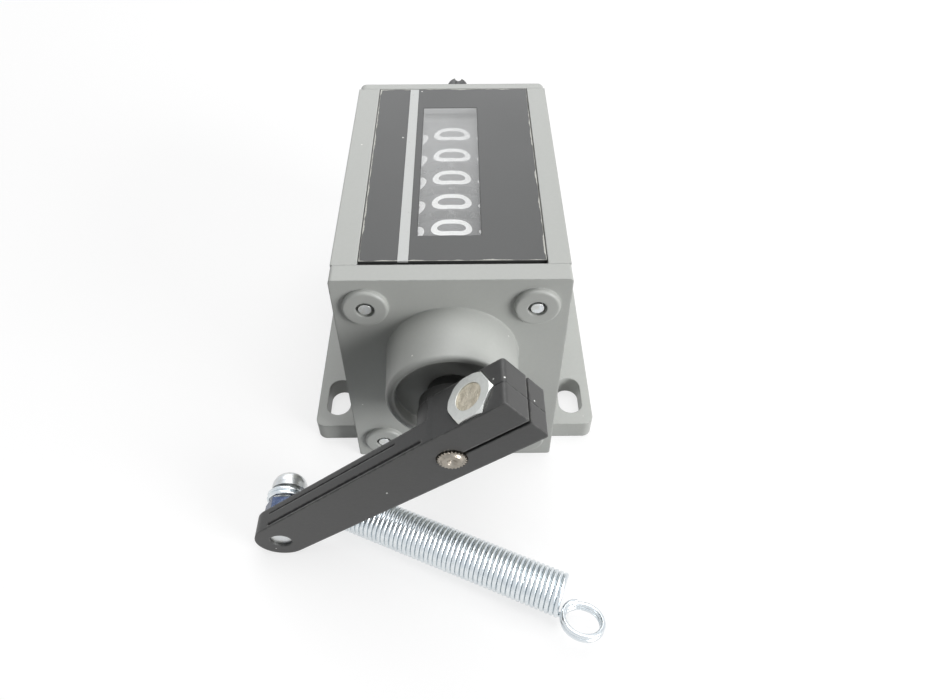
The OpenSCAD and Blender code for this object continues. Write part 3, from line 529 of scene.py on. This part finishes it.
def pull_spring_path():
    """The whole wire: anchor eye, lead, close-wound coil, lead, free eye."""
    joint = next(j for j in frame["joints"] if j["name"] == "spring_swing")
    anchor = Vector(joint["pos_m"])
    along = Vector((math.cos(COIL_YAW), math.sin(COIL_YAW), 0.0))
    side = Vector((-math.sin(COIL_YAW), math.cos(COIL_YAW), 0.0))
    base = Vector((anchor.x, anchor.y, COIL_HEIGHT))

    eye_axis = Vector((0.0, 1.0, 0.0))
    anchor_eye = winding(anchor - eye_axis * WIRE, Vector((1.0, 0.0, 0.0)), UP, eye_axis,
                         first=-2.15 * math.pi, turns=2.0, segments=EYE_SEGMENTS)
    coil = winding(base + side * COIL_SIDE + along * (COIL_START + WIRE / 2), UP, -side, along,
                   first=0.75 * math.pi, turns=COIL_TURNS - 1.0, segments=COIL_SEGMENTS)

    free_side = side * math.cos(FREE_EYE_TILT) - UP * math.sin(FREE_EYE_TILT)
    free_axis = UP * math.cos(FREE_EYE_TILT) + side * math.sin(FREE_EYE_TILT)
    free_centre = (base + along * (COIL_START + COIL_TURNS * WIRE + FREE_EYE_AHEAD)
                   + side * (COIL_SIDE - FREE_EYE_SIDE) + UP * FREE_EYE_LIFT)
    free_eye = winding(free_centre - free_axis * WIRE, -along, free_side, free_axis,
                       first=0.05 * math.pi, turns=2.15, segments=EYE_SEGMENTS)
    return (anchor_eye + lead(anchor_eye[-1], coil[0], UP * LEAD_LIFT) + coil
            + lead(coil[-1], free_eye[0], UP * -LEAD_DROP) + free_eye)


def build_pull_spring():
    bm = bmesh.new()
    sweep(bm, pull_spring_path(), WIRE / 2, WIRE_SIDES)
    piece = new_piece("pull_spring_wire", bm, spring_wire, "hanging_spring")
    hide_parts("pull_spring")


# ---------------------------------------------------------------- return spring in the boss

RETURN_WIRE = 1.0 * MM
RETURN_WIRE_DRAWN = 0.9
RETURN_PITCH = 1.025
RETURN_TAIL = 3.2 * MM
RETURN_TAIL_INSET = 0.1 * MM
RETURN_STEPS = 36
RETURN_STEPS_SHORT = 8
RETURN_SIDES = 10


def build_return_spring():
    """A coil round the shaft, with one straight tail towards the boss's mouth."""
    low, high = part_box("return_spring")
    half_wire = RETURN_WIRE / 2
    radius = (high.x - low.x) / 2 - half_wire
    front = low.y + RETURN_TAIL + half_wire
    length = high.y - half_wire - front
    turns = int(length / (RETURN_PITCH * RETURN_WIRE))
    angles = circle_angles(RETURN_STEPS, math.pi / 2, turns * RETURN_STEPS - RETURN_STEPS_SHORT)
    path = [SHAFT + Vector((radius * math.cos(a),
                            front + length * (a - angles[0]) / (FULL_TURN * turns),
                            radius * math.sin(a)))
            for a in angles]
    path.insert(0, Vector((path[0].x, low.y + RETURN_TAIL_INSET, path[0].z)))
    bm = bmesh.new()
    sweep(bm, path, half_wire * RETURN_WIRE_DRAWN, RETURN_SIDES)
    piece = new_piece("return_spring_wire", bm, spring_wire, "housing")
    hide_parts("return_spring")


build_pull_spring()
build_return_spring()


# ---------------------------------------------------------------- figures on the wheels

FIGURE_HEIGHT = 7.65 * MM
FIGURE_WIDTH = 4.5 * MM
PEN = 1.18 * MM
PAINT_LIFT = 0.015 * MM
PATH_STEP = 0.35 * MM
FIGURE_MIDDLE = 3.8 * MM
FIGURE_COUNT = 10
PEN_END = [math.radians(d) for d in (60, 30, 0, -30, -60)]
WHEEL_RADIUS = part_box("number_wheel_1")[1].z - SHAFT.z


def arc_points(cx, cy, rx, ry, start, end, count):
    """Points along part of an ellipse, its angles in degrees."""
    angles = [math.radians(start + (end - start) * k / count) for k in range(count + 1)]
    return [(cx + rx * math.cos(a), cy + ry * math.sin(a)) for a in angles]


# Each figure is one or two pen strokes in a box 1 wide and 1 high, with the centre at the origin.
FIGURES = {
    0: [arc_points(0, 0.18, 0.5, 0.32, 0, 180, 12)
        + arc_points(0, -0.18, 0.5, 0.32, 180, 360, 12) + [(0.5, 0.18)]],
    1: [[(-0.28, 0.3), (0.04, 0.5), (0.04, -0.5)]],
    2: [arc_points(0, 0.2, 0.5, 0.3, 165, -35, 12) + [(-0.5, -0.5), (0.5, -0.5)]],
    3: [arc_points(0, 0.25, 0.46, 0.25, 150, -80, 12),
        arc_points(0, -0.23, 0.5, 0.27, 85, -150, 12)],
    4: [[(0.26, -0.5), (0.26, 0.5), (-0.5, -0.22), (0.5, -0.22)]],
    5: [[(0.42, 0.5), (-0.4, 0.5), (-0.44, 0.06)] + arc_points(0, -0.2, 0.5, 0.3, 135, -150, 14)],
    6: [[(0.3, 0.5), (-0.2, 0.3)] + arc_points(0, -0.2, 0.5, 0.3, 150, 510, 20)],
    7: [[(-0.5, 0.5), (0.5, 0.5), (-0.1, -0.5)]],
    8: [arc_points(0, 0.25, 0.42, 0.25, 0, 360, 18),
        arc_points(0, -0.24, 0.5, 0.26, 0, 360, 18)],
    9: [[(-0.3, -0.5), (0.2, -0.3)] + arc_points(0, 0.2, 0.5, 0.3, -30, 330, 20)],
}


def densify(points, step):
    """The same line with more points, no further apart than about the step."""
    line = [points[0]]
    for a, b in zip(points, points[1:]):
        count = max(1, int(math.dist(a, b) / step))
        line += [(a[0] + (b[0] - a[0]) * k / count, a[1] + (b[1] - a[1]) * k / count)
                 for k in range(1, count + 1)]
    return line


def ribbon(bm, points, pen, lay):
    """A flat band of paint along a stroke, with round ends; lay maps it to the wheel."""
    count = len(points)
    closed = math.dist(points[0], points[-1]) < 1e-6
    left, right = [], []
    for i in range(count - 1 if closed else count):
        before = points[(i - 1) % (count - 1)] if closed else points[max(i - 1, 0)]
        after = points[(i + 1) % (count - 1)] if closed else points[min(i + 1, count - 1)]
        dx, dy = after[0] - before[0], after[1] - before[1]
        size = math.hypot(dx, dy) or 1.0
        nx, ny = -dy / size * pen / 2, dx / size * pen / 2
        left.append(bm.verts.new(lay(points[i][0] + nx, points[i][1] + ny)))
        right.append(bm.verts.new(lay(points[i][0] - nx, points[i][1] - ny)))
    spans = list(zip(range(len(left)), range(1, len(left))))
    if closed:
        spans.append((len(left) - 1, 0))
    for a, b in spans:
        bm.faces.new((left[a], left[b], right[b], right[a]))
    if closed:
        return
    for end, inner, first, last in ((points[0], points[1], right[0], left[0]),
                                    (points[-1], points[-2], left[-1], right[-1])):
        heading = math.atan2(end[1] - inner[1], end[0] - inner[0])
        cap = [bm.verts.new(lay(end[0] + pen / 2 * math.cos(heading + t),
                                end[1] + pen / 2 * math.sin(heading + t)))
               for t in PEN_END]
        bm.faces.new([first, *cap, last])


def face_outwards(bm):
    """Turn every face of the paint away from the wheel's axis."""
    for face in bm.faces:
        face.normal_update()
        centre = face.calc_center_median()
        if face.normal.dot(Vector((centre.x, 0.0, centre.z - SHAFT.z))) < 0:
            face.normal_flip()


def build_figures(index):
    """Ten painted figures round one wheel, with nought at the top."""
    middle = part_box(f"number_wheel_{index}")[0].y + FIGURE_MIDDLE
    radius = WHEEL_RADIUS + PAINT_LIFT
    bm = bmesh.new()
    for value, strokes in FIGURES.items():
        turn = FULL_TURN * value / FIGURE_COUNT

        def lay(across, up_figure, turn=turn):
            angle = turn + up_figure / WHEEL_RADIUS
            return Vector((radius * math.sin(angle), middle - across,
                           SHAFT.z + radius * math.cos(angle)))

        for stroke in strokes:
            scaled = [(x * (FIGURE_WIDTH - PEN), y * (FIGURE_HEIGHT - PEN)) for x, y in stroke]
            ribbon(bm, densify(scaled, PATH_STEP), PEN, lay)
    face_outwards(bm)
    body = "units_wheel" if index == 1 else f"wheel_{index}"
    new_piece(f"figures_{index}", bm, glowing_figure_paint, body)


for wheel in range(1, 6):
    build_figures(wheel)


# ---------------------------------------------------------------- floor, lights and camera

FLOOR_HALF = 4.0
FLOOR_TONE = (0.31, 0.31, 0.31)
FLOOR_GLOW, FLOOR_SHEEN = 0.08, 0.55
NEAR_GLOW, FAR_GLOW = 0.62, 0.34
GLOW_START, GLOW_END = 0.3, 1.2

SKY_TONE = (0.95, 0.97, 1.0)
SKY_GLOW, SKY_SHEEN, SKY_SEEN = 0.08, 0.75, 0.90

LIGHT_TARGET = Vector((0.0, 0.0, 0.02))

CAMERA_PLACE = Vector((1.893, -119.361, 131.61)) * MM
CAMERA_PITCH, CAMERA_YAW, CAMERA_ROLL = (math.radians(a) for a in (48.243, 0.411, 0.182))
SENSOR_WIDTH, FOCAL_LENGTH = 36.0, 28.51
CLIP_START = 0.01


def build_floor():
    """A pale floor that glows a little more to the camera, and more again far away."""
    bm = bmesh.new()
    corners = [bm.verts.new((x * FLOOR_HALF, y * FLOOR_HALF, 0.0))
               for x, y in ((-1, -1), (1, -1), (1, 1), (-1, 1))]
    bm.faces.new(corners)
    mesh = bpy.data.meshes.new("pale_floor")
    bm.to_mesh(mesh)
    bm.free()
    material, tree, shader = new_material("pale_floor")
    ray = tree.nodes.new("ShaderNodeLightPath").outputs
    away = add_node(tree, "ShaderNodeVectorMath", {"operation": "LENGTH"},
                    in_0=object_place(tree)).outputs["Value"]
    seen_glow = maths(tree, "MULTIPLY_ADD", between(tree, away, GLOW_START, GLOW_END),
                      FAR_GLOW, NEAR_GLOW)
    glow = maths(tree, "MULTIPLY_ADD", ray["Is Camera Ray"], seen_glow, FLOOR_GLOW)
    glow = maths(tree, "MULTIPLY_ADD", ray["Is Glossy Ray"], FLOOR_SHEEN, glow)
    set_inputs(tree, shader, Base_Color=FLOOR_TONE, Roughness=0.8, Specular_IOR_Level=0.0,
               Emission_Color=(1.0, 1.0, 1.0), Emission_Strength=glow)
    mesh.materials.append(material)
    floor = bpy.data.objects.new("pale_floor", mesh)
    bpy.context.scene.collection.objects.link(floor)


def build_light(name, position, size, power):
    """A rectangular soft light, turned to the counter."""
    lamp = bpy.data.lights.new(name, "AREA")
    lamp.shape = "RECTANGLE"
    lamp.size, lamp.size_y = size
    lamp.energy = power
    holder = bpy.data.objects.new(name, lamp)
    holder.location = position
    heading = LIGHT_TARGET - Vector(position)
    holder.rotation_euler = heading.to_track_quat("-Z", "Y").to_euler()
    bpy.context.scene.collection.objects.link(holder)


def build_world():
    """A faint even sky, brighter in reflections and to the camera."""
    world = bpy.data.worlds.new("studio")
    world.use_nodes = True
    tree = world.node_tree
    ray = tree.nodes.new("ShaderNodeLightPath").outputs
    glow = maths(tree, "MULTIPLY_ADD", ray["Is Glossy Ray"], SKY_SHEEN, SKY_GLOW)
    glow = maths(tree, "MULTIPLY_ADD", ray["Is Camera Ray"], SKY_SEEN, glow)
    set_inputs(tree, tree.nodes["Background"], Color=SKY_TONE, Strength=glow)
    bpy.context.scene.world = world


def build_camera():
    lens = bpy.data.cameras.new("studio_camera")
    lens.sensor_width = SENSOR_WIDTH
    lens.lens = FOCAL_LENGTH
    lens.clip_start = CLIP_START
    camera = bpy.data.objects.new("studio_camera", lens)
    level = math.cos(CAMERA_PITCH)
    forward = Vector((math.sin(CAMERA_YAW) * level, math.cos(CAMERA_YAW) * level,
                      -math.sin(CAMERA_PITCH)))
    right = forward.cross(UP).normalized()
    upward = right.cross(forward)
    roll = Matrix.Rotation(CAMERA_ROLL, 3, forward)
    rotation = Matrix((roll @ right, roll @ upward, -forward)).transposed().to_4x4()
    camera.matrix_world = Matrix.Translation(CAMERA_PLACE) @ rotation
    bpy.context.scene.collection.objects.link(camera)
    bpy.context.scene.camera = camera


build_floor()
build_light("overhead_softbox", (0.10, 0.15, 0.75), (0.7, 0.7), 4.9)
build_light("back_softbox", (-0.15, 0.75, 0.45), (0.8, 0.5), 1.8)
build_light("right_softbox", (0.50, -0.36, 0.22), (0.30, 0.30), 3.7)
build_world()
build_camera()
bpy.context.scene.view_settings.view_transform = "Standard"
